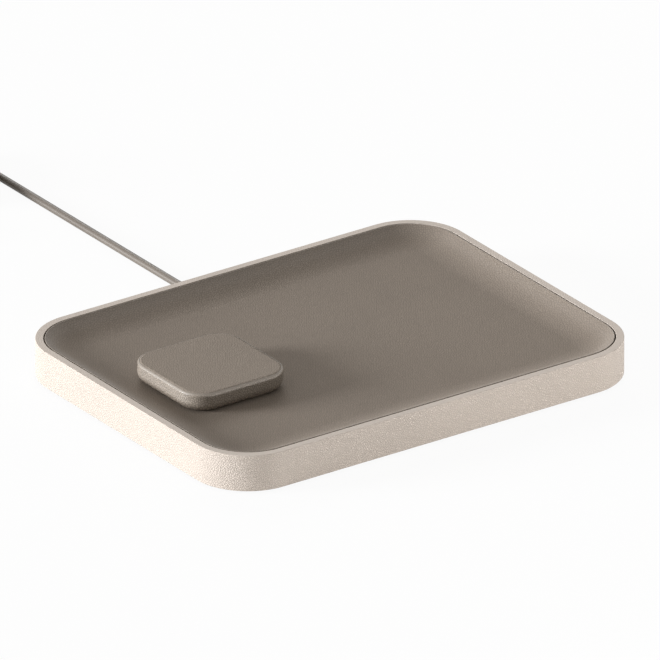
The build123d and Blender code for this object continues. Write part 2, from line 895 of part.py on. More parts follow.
def along_plug(section, start, length):
    """A section across the plug, pushed out along it from start towards its tip."""
    plane = Plane(origin=(tail_x, plug_y - start, plug_z), x_dir=(1, 0, 0), z_dir=(0, -1, 0))
    return extrude(plane * section, length)


def plug_grip():
    """Moulded grip of the plug with a round neck for the lead."""
    body = along_plug(RectangleRounded(plug_width, plug_thick, plug_corner), 0, plug_length)
    ends = body.edges().group_by(Axis.Y)
    body = fillet(ends[0] + ends[-1], plug_edge_round)
    return body + along_plug(Circle(neck_radius), -neck_length, neck_length + plug_edge_round)


def plug_shell():
    """Metal mouth of the plug."""
    body = along_plug(SlotOverall(shell_width, shell_height), plug_length, shell_length)
    mouth = SlotOverall(shell_width - 2 * shell_metal, shell_height - 2 * shell_metal)
    return body - along_plug(mouth, plug_length + shell_back, shell_length)


def plug_insert():
    """Insulating block inside the mouth, with the slot that the contacts line."""
    margin = 2 * (shell_metal + insert_gap)
    outline = SlotOverall(shell_width - margin, shell_height - margin)
    start = plug_length + shell_back
    body = along_plug(outline, start, insert_length)
    slot = Rectangle(insert_slot_width, insert_slot_height)
    return body - along_plug(slot, start + insert_length - insert_slot_depth, insert_slot_depth)


nodes = [
    rim_leather,
    rim_frame,
    liner_leather,
    tray_pan,
    base_plate,
    base_screws,
    feet,
    pad_side_leather,
    pad_shell,
    pad_cover,
    pad_top_leather,
    pad_screws,
    coil_carrier,
    shield_disc,
    charging_coil,
    magnet_ring,
    coil_leads,
    control_board,
    board_screws,
    board_chips,
    lead_socket,
    power_lead,
    lead_clamp,
    clamp_screws,
    ballast_plate,
    ballast_screws,
    strain_relief,
    cord,
    cord_coil,
    cord_tail,
    coil_tie,
    plug_grip,
    plug_shell,
    plug_insert,
]

os.makedirs("parts", exist_ok=True)
for make in nodes:
    export_step(make(), f"parts/{make.__name__}.step")
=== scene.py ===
"""Desk tray with a raised charging pad: its leather, lead and fittings, dressed on the fixed frame.

Everything is in metres in the frame's own axes. +X runs along the tray to the right, +Y to the
back where the lead leaves, +Z up, and the origin is on the table under the tray's middle.
"""

from collections import namedtuple
from math import acos, atan2, cos, hypot, pi, radians, sin, sqrt, tan

import bmesh
import bpy
from bpy.props import FloatProperty, FloatVectorProperty, IntProperty, PointerProperty
from mathutils import Matrix, Vector


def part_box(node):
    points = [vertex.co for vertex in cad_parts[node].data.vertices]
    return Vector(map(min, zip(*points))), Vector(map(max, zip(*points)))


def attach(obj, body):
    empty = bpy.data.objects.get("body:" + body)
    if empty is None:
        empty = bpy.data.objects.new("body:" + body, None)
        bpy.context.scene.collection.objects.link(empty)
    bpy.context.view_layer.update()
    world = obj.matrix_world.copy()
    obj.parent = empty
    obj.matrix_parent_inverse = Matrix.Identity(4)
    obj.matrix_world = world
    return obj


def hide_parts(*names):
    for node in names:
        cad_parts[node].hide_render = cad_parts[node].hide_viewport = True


bl_info = {
    "name": "Desk Tray with Charging Pad",
    "version": (1, 0, 0),
    "blender": (4, 5, 0),
    "location": "View3D > Sidebar > Tray",
    "description": "Leather-wrapped desk tray with a raised charging pad and its lead",
    "category": "Object",
}

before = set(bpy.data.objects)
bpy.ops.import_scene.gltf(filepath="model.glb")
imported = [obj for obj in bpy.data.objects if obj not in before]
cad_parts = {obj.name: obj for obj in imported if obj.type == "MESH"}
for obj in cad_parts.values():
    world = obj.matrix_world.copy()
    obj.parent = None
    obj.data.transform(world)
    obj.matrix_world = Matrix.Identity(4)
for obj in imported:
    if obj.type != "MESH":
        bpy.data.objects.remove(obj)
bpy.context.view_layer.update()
rim_low, rim_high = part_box("rim_leather")
pad_low, pad_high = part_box("pad_side_leather")
sheet_low, sheet_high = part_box("pad_top_leather")
sleeve_low, sleeve_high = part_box("strain_relief")
foot_low, foot_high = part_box("feet")
lead_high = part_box("cord")[1]
tie_low, tie_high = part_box("coil_tie")
grip_low, grip_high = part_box("plug_grip")
exit_x = (sleeve_low.x + sleeve_high.x) / 2

MM = 0.001
MERGE = 0.00001

# How many steps the tray's corners, the pad's corners and the dish's cove are made of
TRAY_CORNER_STEPS = 40
PAD_CORNER_STEPS = 28
COVE_STEPS = 24

# How much of a turn the lead takes to rise off the table, and to climb to the upper layer
RISE_TURNS = 0.25
CLIMB_TURNS = 0.5

# The strips of light that lie on the table, in metres
STRIP_LENGTH = 0.8
STRIP_HEIGHT = 0.006
STRIP_LEVEL = 0.004

# The ranges that fine noise and broad noise mostly keep to, and how far roughness varies
FINE = (0.25, 0.75)
BROAD = (0.3, 0.7)
UNEVEN = 0.06

# A rounded rectangle seen from above: its middle, its half sides and its corner radius
Outline = namedtuple("Outline", "x y half_x half_y corner")

# Leather's grain: the size, depth and contrast of its pebbles, its roughness and its gloss
Grain = namedtuple("Grain", "pebble depth contrast roughness gloss")
RIM_GRAIN = Grain(1.15 * MM, depth=0.165 * MM, contrast=0.12, roughness=0.58, gloss=0.2)
DISH_GRAIN = Grain(1.2 * MM, depth=0.05 * MM, contrast=0.22, roughness=0.85, gloss=0.32)
BAND_GRAIN = Grain(1.15 * MM, depth=0.05 * MM, contrast=0.5, roughness=0.52, gloss=0.9)
SHEET_GRAIN = Grain(1.2 * MM, depth=0.06 * MM, contrast=0.24, roughness=0.85, gloss=0.2)


def length(name, description, millimetres):
    """A size that a user can change, given in millimetres and kept in metres."""
    size = millimetres * MM
    return FloatProperty(name=name, description=description, default=size, unit="LENGTH", precision=5)


def angle(name, description, degrees):
    """An angle that a user can change, given in degrees."""
    turn = radians(degrees)
    return FloatProperty(name=name, description=description, default=turn, unit="ROTATION")


def amount(name, description, value):
    """A strength, a share or another plain number that a user can change."""
    return FloatProperty(name=name, description=description, default=value, min=0)


def linear(level):
    """A screen level from 0 to 255 as the share of light that it stands for."""
    share = level / 255
    return share / 12.92 if share <= 0.04045 else ((share + 0.055) / 1.055) ** 2.4


def tint(name, description, *shares):
    """A colour that a user can change, given by its shares of red, green and blue."""
    return FloatVectorProperty(
        name=name, description=description, subtype="COLOR", size=3, min=0, max=1, default=shares
    )


def colour(name, description, *levels):
    """A colour that a user can change, given by its screen levels."""
    return tint(name, description, *[linear(level) for level in levels])


class TrayRimSizes(bpy.types.PropertyGroup):
    """The leather over the tray's rim."""

    corner: length("Corner radius", "Radius of the tray's corners", 30.5)
    width: length("Width", "Width of the rim's flat top", 4.0)
    skin: length("Skin", "Thickness of the leather", 1.0)
    tuck_skin: length("Tucked skin", "Thickness of the leather where it is pared down", 0.8)
    tuck_depth: length("Tuck", "How far the leather goes down into the groove", 4.4)
    turn_under: length("Turn under", "How far the leather turns under the edge", 5.0)
    top_round: length("Top rounding", "Radius of the outer top edge", 0.25)
    inner_round: length("Inner rounding", "Radius of the inner top edge", 0.1)
    bottom_round: length("Bottom rounding", "Radius of the lower edge", 0.6)
    notch_gap: length("Notch gap", "Gap round the lead's sleeve", 0.2)


class TrayDishSizes(bpy.types.PropertyGroup):
    """The leather that lines the dish."""

    groove: length("Groove", "Gap between the rim and the lining", 0.65)
    lip_drop: length("Lip drop", "From the rim's top down to the lining's lip", -0.22)
    lip_round: length("Lip rounding", "Radius of the lining's lip", 0.3)
    lining: length("Lining", "Thickness of the lining", 1.2)
    turn_down: length("Turn down", "How far the lining goes down into the groove", 3.8)
    turn_skin: length("Turned skin", "Thickness of the lining in the groove", 0.8)
    cove_foot: length("Cove foot", "From the tray's outside to the edge of the flat floor", 25.0)


class TrayPadSizes(bpy.types.PropertyGroup):
    """The leather on the charging pad."""

    corner: length("Corner radius", "Radius of the pad's corners", 13.6)
    skin: length("Skin", "Thickness of the leather", 1.0)
    rounding: length("Foot rounding", "Radius of the pad's lower edge", 5.0)
    bead_drop: length("Bead drop", "From the pad's top down to the bead", 0.36)
    bead_round: length("Bead rounding", "Outer radius of the bead", 1.5)
    bead_inner_round: length("Inner bead rounding", "Inner radius of the bead", 0.12)
    foot_inset: length("Foot inset", "How far the leather turns under the pad", 9.6)
    groove: length("Groove", "Gap between the bead and the top sheet", 0.05)
    sheet_round: length("Sheet rounding", "Radius at which the top sheet's edge bends down", 1.6)
    sheet_drop: length("Sheet drop", "How far the top sheet's edge bends down", 0.38)


class TrayFittingSizes(bpy.types.PropertyGroup):
    """The feet, the lead's sleeve and the strap round the coil."""

    foot_radius: length("Foot radius", "Radius of each foot", 9.0)
    foot_round: length("Foot rounding", "Radius of each foot's lower edge", 0.5)
    foot_border: length("Foot border", "Width of each foot's raised border", 1.6)
    foot_hollow: length("Foot hollow", "Depth of the hollow under each foot", 0.3)
    sleeve_radius: length("Sleeve radius", "Radius of the sleeve where it leaves the rim", 2.9)
    sleeve_tip: length("Sleeve tip", "Radius of the sleeve at its tip", 2.3)
    sleeve_flange: length("Sleeve flange", "Thickness of the flange inside the rim", 1.4)
    ring_pitch: length("Ring pitch", "From one groove of the sleeve to the next", 2.4)
    ring_width: length("Ring width", "Width of the sleeve's grooves", 0.9)
    ring_deep: length("Ring depth", "Depth of the sleeve's grooves", 0.35)
    strap_thick: length("Strap thickness", "Thickness of the strap", 0.8)
    strap_corner: length("Strap corner", "Radius at which the strap bends", 3.4)
    strap_overlap: length("Strap overlap", "Length of the strap's loose end", 17.0)


class TrayLeadSizes(bpy.types.PropertyGroup):
    """The lead and its put-away coil."""

    diameter: length("Diameter", "Thickness of the lead", 4.0)
    level_run: length("Level run", "Straight out of the sleeve", 7.5)
    drop_run: length("Drop", "Down to the table", 9.0)
    turn_radius: length("Turn radius", "Radius of the coil's outer turn", 33.6)
    turn_pitch: length("Turn pitch", "From one turn to the next", 4.5)
    layer_pitch: length("Layer pitch", "From one layer to the next", 4.5)
    coil_rise: length("First rise", "How far the coil lifts off the table", 1.1)
    tail_level_run: length("Tail's level run", "Straight out of the coil and into the plug", 8.0)
    tail_drop_run: length("Tail's drop", "Down to the plug", 13.0)
    real_length: length("Length", "Length of the whole lead", 1511.0)
    turns: amount("Turns", "Turns in the coil", 8.5)
    steps: IntProperty(name="Points a turn", description="Points in each turn", default=24)


class TrayColours(bpy.types.PropertyGroup):
    """The colours of the tray's surfaces."""

    rim: colour("Rim", "Pale leather of the rim", 196, 185, 175)
    dish: colour("Dish", "Dark leather of the dish", 134, 123, 112)
    pad: colour("Pad", "Dark leather of the pad's top", 145, 134, 123)
    pad_side: colour("Pad's side", "Dark leather round the pad", 141, 130, 118)
    lead: colour("Lead", "Jacket of the lead, its sleeve and its plug", 105, 97, 89)
    base: colour("Base", "Plate under the tray", 112, 105, 99)
    inside: colour("Inside", "Moulded parts inside the tray", 158, 152, 145)
    foot: colour("Feet", "Soft feet", 78, 74, 71)
    strap: colour("Strap", "Woven strap round the coil", 108, 100, 93)
    steel: colour("Steel", "Steel screws and plates", 178, 178, 180)
    copper: colour("Copper", "Copper winding", 190, 118, 84)
    board: colour("Board", "Circuit board", 34, 74, 52)
    floor: colour("Floor", "Table that the tray stands on", 242, 242, 242)


def tray_outline():
    """The tray seen from above."""
    return Outline(0, 0, rim_high.x, rim_high.y, bpy.context.scene.tray_rim.corner)


def pad_outline():
    """The pad seen from above."""
    middle = (pad_low + pad_high) / 2
    half = (pad_high - pad_low) / 2
    return Outline(middle.x, middle.y, half.x, half.y, bpy.context.scene.tray_pad.corner)


def rim_wall():
    """From the outside of the rim in to where its leather is tucked down."""
    size = bpy.context.scene.tray_rim
    return size.width - size.tuck_skin


def lead_radius():
    return bpy.context.scene.tray_lead.diameter / 2


def lead_level():
    """The level at which the lead leaves its sleeve."""
    return lead_high.z - lead_radius()


def last_vert(geometry):
    return next(part for part in geometry if isinstance(part, bmesh.types.BMVert))


class Section:
    """A section drawn as straight runs and arcs at the right end of an outline.

    A point is given by its inset from the outline and its level.
    """

    def __init__(self, outline):
        self.bm = bmesh.new()
        self.outline = outline
        self.first = None
        self.last = None

    def place(self, inset, level):
        outline = self.outline
        return Vector((outline.x + outline.half_x - inset, outline.y, level))

    def go(self, inset, level):
        """Goes straight to a point, or starts there."""
        vert = self.bm.verts.new(self.place(inset, level))
        if self.last is None:
            self.first = vert
        else:
            self.bm.edges.new((self.last, vert))
        self.last = vert

    def turn(self, inset, level, angle, steps):
        """Goes on in an arc about a centre. A positive angle goes out, up, in and down."""
        centre = self.place(inset, level)
        moved = bmesh.ops.spin(
            self.bm, geom=[self.last], cent=centre, axis=(0, -1, 0), angle=angle, steps=steps
        )
        self.last = last_vert(moved["geom_last"])

    def close(self):
        self.bm.edges.new((self.last, self.first))

    def carry_round(self, steps):
        """Carries the section once round its outline, joins the ends and gives the mesh."""
        outline = self.outline
        across = outline.half_x - outline.corner
        along = outline.half_y - outline.corner
        legs = [
            ((0, along, 0), (across, along)),
            ((-2 * across, 0, 0), (-across, along)),
            ((0, -2 * along, 0), (-across, -along)),
            ((2 * across, 0, 0), (across, -along)),
            ((0, along, 0), None),
        ]
        moving = self.bm.verts[:] + self.bm.edges[:]
        for push, corner in legs:
            moved = bmesh.ops.spin(
                self.bm, geom=moving, cent=(0, 0, 0), axis=(0, 0, 1), dvec=push, angle=0, steps=1
            )
            moving = moved["geom_last"]
            if corner is None:
                continue
            centre = (outline.x + corner[0], outline.y + corner[1], 0)
            turned = bmesh.ops.spin(
                self.bm, geom=moving, cent=centre, axis=(0, 0, 1), angle=pi / 2, steps=steps
            )
            moving = turned["geom_last"]
        bmesh.ops.remove_doubles(self.bm, verts=self.bm.verts, dist=MERGE)
        self.unroll()
        return self.bm

    def unroll(self):
        """Lays the faces out flat, along the outline and across it, for the grain."""
        layer = self.bm.loops.layers.uv.new("unrolled")
        outline = self.outline
        once_round = 4 * (outline.half_x + outline.half_y - (2 - pi / 2) * outline.corner)
        for face in self.bm.faces:
            middle = self.flat(face.calc_center_median())[0]
            for loop in face.loops:
                along, across = self.flat(loop.vert.co)
                laps = round((middle - along) / once_round)
                loop[layer].uv = (along + laps * once_round, across)

    def flat(self, point):
        """A point's distance round the outline and its place across it, from its foot up."""
        outline = self.outline
        x, y = point.x - outline.x, point.y - outline.y
        across = outline.half_x - outline.corner
        along = outline.half_y - outline.corner
        past_x, past_y = max(abs(x) - across, 0), max(abs(y) - along, 0)
        inset = outline.corner - hypot(past_x, past_y)
        corner = outline.corner * atan2(past_y, past_x)
        distance = min(abs(y), along) + corner + across - min(abs(x), across)
        half_round = 2 * (outline.half_x + outline.half_y - (2 - pi / 2) * outline.corner)
        if x < 0:
            distance = half_round - distance
        if y < 0:
            distance = 2 * half_round - distance
        return distance, point.z + inset


def fill_openings(bm):
    """Closes each opening with one face."""
    edges = [edge for edge in bm.edges if edge.is_boundary]
    bmesh.ops.holes_fill(bm, edges=edges, sides=0)


def round_edges(bm, edges, width, segments):
    bmesh.ops.bevel(
        bm,
        geom=edges,
        offset=width,
        offset_type="OFFSET",
        segments=segments,
        profile=0.5,
        affect="EDGES",
        material=-1,
    )


def as_mesh(name, bm):
    """Turns every face outward and gives the mesh."""
    bmesh.ops.recalc_face_normals(bm, faces=bm.faces)
    mesh = bpy.data.meshes.new(name)
    bm.to_mesh(mesh)
    bm.free()
    return mesh


def in_scene(name, data):
    item = bpy.data.objects.new(name, data)
    bpy.context.scene.collection.objects.link(item)
    return item


def aim_item(item, direction, axis):
    """Turns an object so that one of its axes points that way and +Y stays up."""
    item.rotation_mode = "QUATERNION"
    item.rotation_quaternion = direction.to_track_quat(axis, "Y")


def combine(item, bm, operation):
    """Joins a shape to an object, or cuts it away."""
    tool = in_scene("tool", as_mesh("tool", bm))
    change = item.modifiers.new("Change", "BOOLEAN")
    change.operation = operation
    change.solver = "EXACT"
    change.object = tool
    bpy.context.view_layer.update()
    shown = item.evaluated_get(bpy.context.evaluated_depsgraph_get())
    made = bpy.data.meshes.new_from_object(shown)
    spent = (item.data, tool.data)
    item.modifiers.remove(change)
    item.data = made
    bpy.data.objects.remove(tool)
    for mesh in spent:
        bpy.data.meshes.remove(mesh)


def finish_piece(item, material, slot, *nodes, sharp=40):
    """Shades a mesh smooth between its sharp edges, gives it its material, hangs it on the root and
    hides the parts that it stands for.
    """
    item.data.shade_smooth()
    item.data.set_sharp_from_angle(angle=radians(sharp))
    item.data.materials.append(material)
    item.modifiers.new("Even shading", "WEIGHTED_NORMAL").keep_sharp = True
    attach(item, "root")
    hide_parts(*nodes)


class Finish:
    """A material's nodes, with short ways to add one and to join two."""

    def __init__(self, name):
        self.material = bpy.data.materials.new(name)
        self.material.use_nodes = True
        self.tree = self.material.node_tree
        self.shader = self.tree.nodes["Principled BSDF"]

    def put(self, node, key, value):
        if isinstance(value, bpy.types.NodeSocket):
            self.tree.links.new(value, node.inputs[key])
        elif node.inputs[key].type == "RGBA":
            node.inputs[key].default_value = (*value, 1)
        else:
            node.inputs[key].default_value = value

    def add(self, kind, inputs, output=0, **settings):
        """Adds a node and gives its output. An input is a number, a colour or another output."""
        node = self.tree.nodes.new(kind)
        for key, value in settings.items():
            setattr(node, key, value)
        for key, value in inputs.items():
            self.put(node, key, value)
        return node.outputs[output]

    def set(self, **inputs):
        """Sets or joins the shader's own inputs and gives the material."""
        for key, value in inputs.items():
            self.put(self.shader, key.replace("_", " "), value)
        return self.material

    def place(self, layout="Object"):
        return self.add("ShaderNodeTexCoord", {}, output=layout)

    def noise(self, place, size, detail=2.0, roughness=0.5, output="Fac"):
        """Soft blotches of that size, from 0 to 1."""
        inputs = {"Vector": place, "Scale": 1 / size, "Detail": detail, "Roughness": roughness}
        return self.add("ShaderNodeTexNoise", inputs, output=output)

    def fit(self, value, low, high, to_low, to_high):
        """Takes a value from one range to another, smoothly and within its ends."""
        keys = ("Value", "From Min", "From Max", "To Min", "To Max")
        inputs = dict(zip(keys, (value, low, high, to_low, to_high)))
        return self.add("ShaderNodeMapRange", inputs, interpolation_type="SMOOTHSTEP")

    def math(self, operation, *values):
        return self.add("ShaderNodeMath", dict(enumerate(values)), operation=operation)

    def scaled(self, vector, factor):
        return self.add("ShaderNodeVectorMath", {0: vector, "Scale": factor}, operation="SCALE")

    def relief(self, height, depth, over=None):
        """Relief of that depth in metres, laid over another where one is given."""
        inputs = {"Height": height, "Distance": depth, "Strength": 1.0}
        if over is not None:
            inputs["Normal"] = over
        return self.add("ShaderNodeBump", inputs)

    def pebbles(self, place, size):
        """Leather's pebbles: low cushions of that size with fine creases between them."""
        tilt, sway_size, reach = (0, 0, 0.6), size * 1.8, size * 1.2
        place = self.add("ShaderNodeMapping", {"Vector": place, "Rotation": tilt})
        sway = self.noise(place, sway_size, detail=1.0, output="Color")
        middle = self.add(
            "ShaderNodeVectorMath", {0: sway, 1: (0.5, 0.5, 0.5)}, operation="SUBTRACT"
        )
        moved = self.add(
            "ShaderNodeVectorMath", {0: place, 1: self.scaled(middle, reach)}, operation="ADD"
        )
        inputs = {"Vector": moved, "Scale": 1 / size, "Randomness": 0.9}
        flat = {"feature": "DISTANCE_TO_EDGE", "voronoi_dimensions": "2D"}
        cells = self.add("ShaderNodeTexVoronoi", inputs, **flat)
        return self.fit(cells, 0.0, 0.3, 0.0, 1.0)


def leather(name, base, grain, layout, pressed=None, rubbed=None):
    """Grained leather. Its grain is pressed flat above a level, or rubbed smoother upwards.

    pressed is that level, with the share of the base colour there, which on the pad's bead is painted
    shade.
    rubbed is the levels where the rubbing starts and ends, with the shares of the roughness there.
    """
    finish = Finish(name)
    place = finish.place()
    cushions = finish.pebbles(finish.place(layout), grain.pebble)
    pores = finish.noise(place, grain.pebble * 0.35, detail=3.0)
    height = finish.math("MULTIPLY_ADD", pores, 0.35, cushions)
    darkest, palest = 1 - grain.contrast, 1 + 0.35 * grain.contrast
    cloud = finish.fit(finish.noise(place, 40 * MM, detail=4.0), *BROAD, 0.975, 1.025)
    rough = finish.fit(pores, *FINE, grain.roughness - UNEVEN, grain.roughness + UNEVEN)
    level = finish.add("ShaderNodeSeparateXYZ", {0: place}, output="Z")
    if rubbed is not None:
        rough = finish.math("MULTIPLY", rough, finish.fit(level, *rubbed))
    if pressed is not None:
        above, share = pressed
        start = above - 0.4 * MM
        height = finish.math("MULTIPLY", height, finish.fit(level, start, above, 1.0, 0.2))
        # Above the level the colour takes the given share; on the pad's bead that share is painted
        # shade
        darkest = finish.fit(level, start, above, darkest, 0.97 * share)
        palest = finish.fit(level, start, above, palest, share)
    shade = finish.fit(cushions, 0.0, 0.9, darkest, palest)
    waves = finish.relief(finish.noise(place, 28 * MM, detail=1.0), 0.1 * MM)
    return finish.set(
        Base_Color=finish.scaled(base, finish.math("MULTIPLY", shade, cloud)),
        Roughness=rough,
        Specular_IOR_Level=grain.gloss,
        Normal=finish.relief(height, grain.depth, waves),
    )


def moulded(name, base, roughness=0.5, texture=0.5 * MM, depth=0.008 * MM, gloss=0.4):
    """Moulded plastic or rubber with the mould's fine texture."""
    finish = Finish(name)
    place = finish.place()
    speckle = finish.noise(place, texture, detail=2.0)
    cloud = finish.fit(finish.noise(place, 24 * MM, detail=3.0), *BROAD, 0.965, 1.035)
    return finish.set(
        Base_Color=finish.scaled(base, cloud),
        Roughness=finish.fit(speckle, *FINE, roughness - UNEVEN, roughness + UNEVEN),
        Specular_IOR_Level=gloss,
        Normal=finish.relief(speckle, depth),
    )


def plated(name, base, roughness, drawn=(1.0, 1.0, 1.0)):
    """Metal with faint marks drawn out along one axis."""
    finish = Finish(name)
    place = finish.add("ShaderNodeMapping", {"Vector": finish.place(), "Scale": drawn})
    marks = finish.noise(place, 0.7 * MM, detail=4.0, roughness=0.7)
    return finish.set(
        Base_Color=finish.scaled(base, finish.fit(marks, *FINE, 0.9, 1.05)),
        Metallic=1.0,
        Roughness=finish.fit(marks, *FINE, roughness - UNEVEN, roughness + 0.1),
        Normal=finish.relief(marks, 0.003 * MM),
    )


def woven(name, base, pitch):
    """Woven strap: ribs both ways with a soft fuzz over them."""
    finish = Finish(name)
    place = finish.place()
    ribs = []
    for direction in "XY":
        inputs = {"Vector": place, "Scale": pi / 10 / pitch, "Distortion": 0.5, "Detail": 1.0}
        ribs.append(
            finish.add("ShaderNodeTexWave", inputs, output="Fac", bands_direction=direction)
        )
    fuzz = finish.noise(place, 0.25 * MM, detail=3.0)
    weave = finish.math("MULTIPLY_ADD", fuzz, 0.5, finish.math("MULTIPLY", *ribs))
    return finish.set(
        Base_Color=finish.scaled(base, finish.fit(weave, 0.1, 1.1, 0.72, 1.12)),
        Roughness=0.85,
        Specular_IOR_Level=0.2,
        Sheen_Weight=0.25,
        Normal=finish.relief(weave, 0.12 * MM),
    )


class TRAY_OT_stage(bpy.types.Operator):
    """Sets the camera, the lamps, the floor and the backdrop"""

    bl_idname = "tray.stage"
    bl_label = "Stage"

    azimuth: angle("Azimuth", "How far right of the front the camera stands", -35.0377)
    elevation: angle("Elevation", "How steeply the camera looks down", 24.9113)
    lens: amount("Lens", "Focal length of the camera, in millimetres", 1650)
    width: length("Width of the view", "What the picture takes in at the tray", 325.45)
    aim_right: length("Aim, right", "How far right of the tray's foot it looks", 0.132)
    aim_up: length("Aim, up", "How far above the tray's foot it looks", 20.958)
    sky: amount("Sky", "Strength of the light from all round", 0.405)
    sky_tint: tint("Sky colour", "Colour of the light from all round", 1.0, 0.98, 0.94)
    key: amount("Key lamp", "Strength of the low sun at the back left", 5.7)
    key_tint: tint("Key colour", "Colour of the key lamp", 0.965, 0.98, 1.0)
    side: amount("Side lamp", "Strength of the higher sun at the back right", 0.8)
    front: amount("Front strip", "Strength of the strip of light in front", 1.4)
    right: amount("Right strip", "Strength of the strip of light on the right", 0.5)
    table_white: amount("Table's white", "Share of plain white in the table's look", 0.94)

    def execute(self, context):
        context.scene.view_settings.view_transform = "Standard"
        self.camera(context)
        key = self.lamp("key", self.key, azimuth=153, elevation=9.5, spread=20)
        key.data.color = self.key_tint
        self.lamp("side", self.side, azimuth=60, elevation=35, spread=30)
        self.low_lamp("front", self.front, x=0.25, y=-0.44, towards=(0, 1, 0))
        self.low_lamp("right", self.right, x=0.5, y=-0.1, towards=(-1, 0, 0))
        self.backdrop(context)
        self.floor(context)
        return {"FINISHED"}

    def camera(self, context):
        turn, level = self.azimuth, cos(self.elevation)
        back = Vector((sin(turn) * level, -cos(turn) * level, sin(self.elevation)))
        right = Vector((cos(turn), sin(turn), 0))
        up = back.cross(right)
        aim = Vector((0, 0, rim_low.z)) + right * self.aim_right + up * self.aim_up
        data = bpy.data.cameras.new("camera")
        data.lens = self.lens
        distance = self.width * data.lens / data.sensor_width
        data.clip_start = distance / 10
        data.clip_end = distance * 10
        camera = in_scene("camera", data)
        camera.location = aim + back * distance
        aim_item(camera, -back, "-Z")
        context.scene.camera = camera

    def lamp(self, name, energy, azimuth, elevation, spread):
        """A large soft lamp far away, in degrees. Azimuth turns from +X towards +Y."""
        data = bpy.data.lights.new(name, "SUN")
        data.energy = energy
        data.angle = radians(spread)
        turn, rise = radians(azimuth), radians(elevation)
        towards = Vector((cos(turn) * cos(rise), sin(turn) * cos(rise), sin(rise)))
        lamp = in_scene(name, data)
        lamp.location = towards
        aim_item(lamp, towards, "Z")
        return lamp

    def low_lamp(self, name, energy, x, y, towards):
        """A thin strip on the table, which reaches the rim's side but not the pad."""
        data = bpy.data.lights.new(name, "AREA")
        data.shape = "RECTANGLE"
        data.size = STRIP_LENGTH
        data.size_y = STRIP_HEIGHT
        data.energy = energy
        lamp = in_scene(name, data)
        lamp.location = (x, y, STRIP_LEVEL)
        aim_item(lamp, -Vector(towards), "Z")
        lamp.visible_camera = False

    def looked_at(self, tree):
        """A value that is 1 for the camera, reflections and glass, and 0 for light."""
        rays = tree.nodes.new("ShaderNodeLightPath")
        value = rays.outputs["Is Camera Ray"]
        for kind in ("Is Glossy Ray", "Is Transmission Ray"):
            either = tree.nodes.new("ShaderNodeMath")
            either.operation = "MAXIMUM"
            tree.links.new(value, either.inputs[0])
            tree.links.new(rays.outputs[kind], either.inputs[1])
            value = either.outputs[0]
        return value

    def show(self, tree, share, lit, seen, output):
        """Mixes the shader that gives light with the one that is seen, by that share."""
        mix = tree.nodes.new("ShaderNodeMixShader")
        for socket, value in zip(mix.inputs, (share, lit.outputs[0], seen.outputs[0])):
            tree.links.new(value, socket)
        tree.links.new(mix.outputs[0], tree.nodes[output].inputs["Surface"])

    def backdrop(self, context):
        """A world that lights the tray evenly and shows as plain white."""
        world = bpy.data.worlds.new("backdrop")
        world.use_nodes = True
        context.scene.world = world
        tree = world.node_tree
        light = tree.nodes["Background"]
        light.inputs["Color"].default_value = (*self.sky_tint, 1)
        light.inputs["Strength"].default_value = self.sky
        white = tree.nodes.new("ShaderNodeBackground")
        white.inputs["Color"].default_value = (1, 1, 1, 1)
        self.show(tree, self.looked_at(tree), light, white, "World Output")

    def floor(self, context):
        """A pale table, nearly white where it is seen, that keeps the tray's shadow."""
        bm = bmesh.new()
        bmesh.ops.create_grid(bm, x_segments=1, y_segments=1, size=3.0)
        floor = in_scene("floor", as_mesh("floor", bm))
        material = bpy.data.materials.new("table")
        material.use_nodes = True
        tree = material.node_tree
        surface = tree.nodes["Principled BSDF"]
        surface.inputs["Base Color"].default_value = (*context.scene.tray_colours.floor, 1)
        surface.inputs["Roughness"].default_value = 0.9
        surface.inputs["Specular IOR Level"].default_value = 0.0
        white = tree.nodes.new("ShaderNodeEmission")
        share = tree.nodes.new("ShaderNodeMath")
        share.operation = "MULTIPLY"
        share.inputs[1].default_value = self.table_white
        tree.links.new(self.looked_at(tree), share.inputs[0])
        self.show(tree, share.outputs[0], surface, white, "Material Output")
        floor.data.materials.append(material)


class TRAY_OT_strap(bpy.types.Operator):
    """Ties the coil with a woven strap"""

    bl_idname = "tray.strap"
    bl_label = "Strap"

    def execute(self, context):
        size = context.scene.tray_fittings
        middle = (tie_low + tie_high) / 2
        half = (tie_high - tie_low) / 2
        edge = size.strap_thick / 2
        section = Section(Outline(0, 0, half.y, half.z, size.strap_corner))
        section.go(0, edge - half.x)
        section.go(0, half.x - edge)
        section.turn(edge, half.x - edge, pi, steps=6)
        section.go(size.strap_thick, edge - half.x)
        section.turn(edge, edge - half.x, pi, steps=6)
        bm = section.carry_round(steps=10)
        upright = Matrix(((0, 0, 1), (1, 0, 0), (0, 1, 0))).to_4x4()
        bmesh.ops.transform(bm, matrix=Matrix.Translation(middle) @ upright, verts=bm.verts)
        strap = in_scene("coil_strap", as_mesh("coil_strap", bm))
        combine(strap, self.loose_end(size, middle, half), "UNION")
        cloth = woven("strap_weave", context.scene.tray_colours.strap, 0.7 * MM)
        finish_piece(strap, cloth, "tie_fabric", "coil_tie")
        return {"FINISHED"}

    def loose_end(self, size, middle, half):
        """The strap's end, which laps over its own top."""
        bm = bmesh.new()
        thick = size.strap_thick
        narrower, back, lift = 0.2 * MM, 1 * MM, 0.45 * thick
        span = Matrix.Diagonal((2 * half.x - narrower, size.strap_overlap, thick, 1))
        top = Vector((middle.x, middle.y + back, middle.z + half.z + lift))
        bmesh.ops.create_cube(bm, size=1, matrix=Matrix.Translation(top) @ span)
        upright = [e for e in bm.edges if abs(e.verts[0].co.z - e.verts[1].co.z) > thick / 2]
        free = [e for e in upright if e.verts[0].co.y < middle.y]
        round_edges(bm, free, width=2.4 * MM, segments=6)
        level = [e for e in bm.edges if e.verts[0].co.z > top.z and e.verts[1].co.z > top.z]
        round_edges(bm, level, width=0.3 * MM, segments=3)
        return bm


